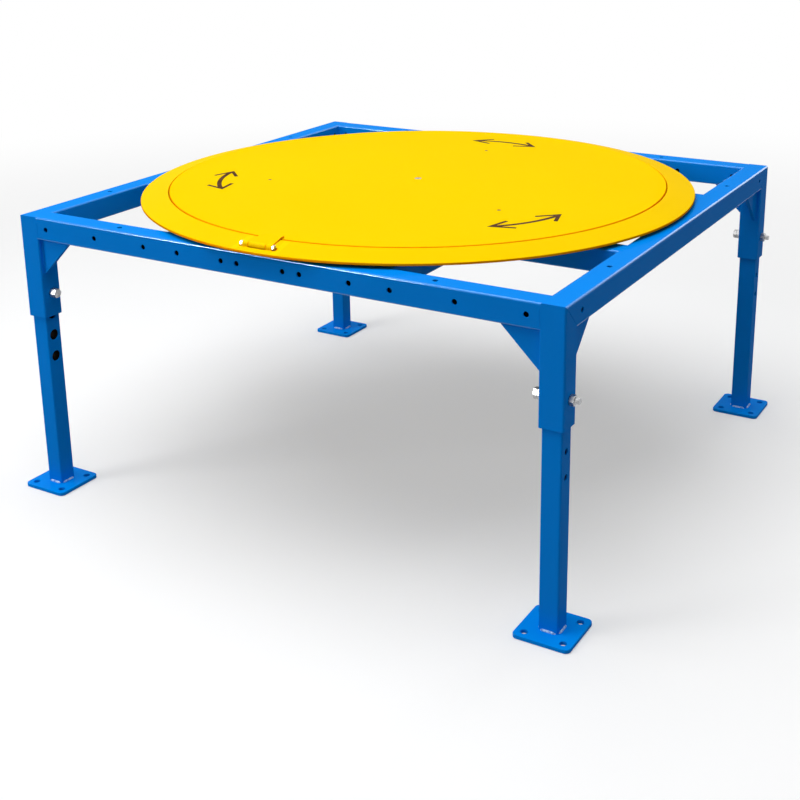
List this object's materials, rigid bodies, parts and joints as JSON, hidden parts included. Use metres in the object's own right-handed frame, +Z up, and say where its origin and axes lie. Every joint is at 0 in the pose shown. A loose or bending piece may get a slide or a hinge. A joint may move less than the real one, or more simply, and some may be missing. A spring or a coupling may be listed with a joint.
{
  "type": "pallet turntable on a stand",
  "caption": "Low manual pallet turntable: a round deck with a sloping skirt and a hinged rotation latch, on a height-adjustable welded tube stand with bolt-down feet.",
  "frame": {"origin": "on the floor, under the middle of the disc and of the four feet", "axes": "+Z up, +X to the right along the front rail, +Y to the back; the latch is at the front (-Y)"},
  "size_m": [1.355, 1.28, 0.6694],
  "materials": {
    "blue_paint": "glossy blue powder coat on welded steel tube",
    "yellow_paint": "satin yellow powder coat on steel plate",
    "zinc_plate": "bright zinc plated fastener",
    "bright_steel": "ground bright steel",
    "bronze": "plain sintered bronze",
    "nylon": "natural moulded nylon"
  },
  "bodies": {
    "stand": {"front_rail": "blue_paint", "rear_rail": "blue_paint", "left_rail": "blue_paint", "right_rail": "blue_paint", "cross_beam_left": "blue_paint", "cross_beam_right": "blue_paint", "cross_tie_front_left": "blue_paint", "cross_tie_front_middle": "blue_paint", "cross_tie_front_right": "blue_paint", "cross_tie_rear_left": "blue_paint", "cross_tie_rear_middle": "blue_paint", "cross_tie_rear_right": "blue_paint", "post_front_left": "blue_paint", "gusset_front_left_across": "blue_paint", "gusset_front_left_along": "blue_paint", "leg_front_left": "blue_paint", "foot_plate_front_left": "blue_paint", "post_front_right": "blue_paint", "gusset_front_right_across": "blue_paint", "gusset_front_right_along": "blue_paint", "leg_front_right": "blue_paint", "foot_plate_front_right": "blue_paint", "post_rear_left": "blue_paint", "gusset_rear_left_across": "blue_paint", "gusset_rear_left_along": "blue_paint", "leg_rear_left": "blue_paint", "foot_plate_rear_left": "blue_paint", "post_rear_right": "blue_paint", "gusset_rear_right_across": "blue_paint", "gusset_rear_right_along": "blue_paint", "leg_rear_right": "blue_paint", "foot_plate_rear_right": "blue_paint", "leg_bolt_front_left": "zinc_plate", "spacer_nut_front_left": "zinc_plate", "locknut_front_left": "zinc_plate", "leg_bolt_front_right": "zinc_plate", "spacer_nut_front_right": "zinc_plate", "locknut_front_right": "zinc_plate", "leg_bolt_rear_left": "zinc_plate", "spacer_nut_rear_left": "zinc_plate", "locknut_rear_left": "zinc_plate", "leg_bolt_rear_right": "zinc_plate", "spacer_nut_rear_right": "zinc_plate", "locknut_rear_right": "zinc_plate", "centre_screw": "zinc_plate", "latch_pin": "zinc_plate", "latch_nut": "zinc_plate", "base_plate": "yellow_paint", "ramp_ring": "yellow_paint", "pivot_hub": "bright_steel", "lower_race": "bright_steel"},
    "disc": {"turntable_disc": "yellow_paint", "disc_collar": "yellow_paint", "pivot_bush": "bronze", "upper_race": "bright_steel", "race_screw_1": "zinc_plate", "race_screw_2": "zinc_plate", "race_screw_3": "zinc_plate"},
    "cage": {"ball_cage": "nylon"},
    "latch": {"latch_tongue": "yellow_paint"}
  },
  "joints": [
    {"name": "disc_spin", "type": "hinge", "parent": "stand", "child": "disc", "pos_m": [0, 0, 0.659], "axis": [0, 0, 1], "continuous": true},
    {"name": "cage_spin", "type": "hinge", "parent": "stand", "child": "cage", "pos_m": [0, 0, 0.652], "axis": [0, 0, 1], "continuous": true},
    {"name": "latch_hinge", "type": "hinge", "parent": "stand", "child": "latch", "pos_m": [0, -0.606, 0.659], "axis": [1, 0, 0], "range_deg": [0, 170]}
  ],
  "couplings": [
    {"joint": "cage_spin", "follows": "disc_spin", "ratio": 0.5}
  ]
}
